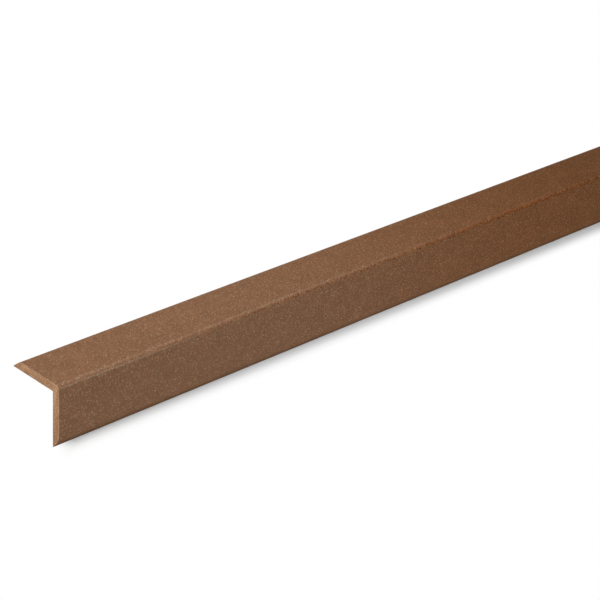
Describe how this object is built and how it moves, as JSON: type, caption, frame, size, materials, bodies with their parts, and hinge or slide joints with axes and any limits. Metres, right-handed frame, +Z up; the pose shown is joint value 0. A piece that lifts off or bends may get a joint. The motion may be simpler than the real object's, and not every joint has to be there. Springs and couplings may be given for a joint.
{
  "type": "composite angle trim",
  "caption": "Brown wood-plastic composite angle trim: equal-leg right-angle moulding with a chamfered corner and bevelled leg tips, to cover a board edge or outside corner.",
  "frame": {"origin": "middle of the length, on the floor below the outer corner", "axes": "+X along the trim, +Y across it from the front leg to the back leg, +Z up through the outer corner"},
  "size_m": [2, 0.0558, 0.0348],
  "materials": {
    "composite": "matte sanded brown composite with fine wood flecks"
  },
  "bodies": {
    "root": {"angle_trim": "composite"}
  },
  "joints": []
}
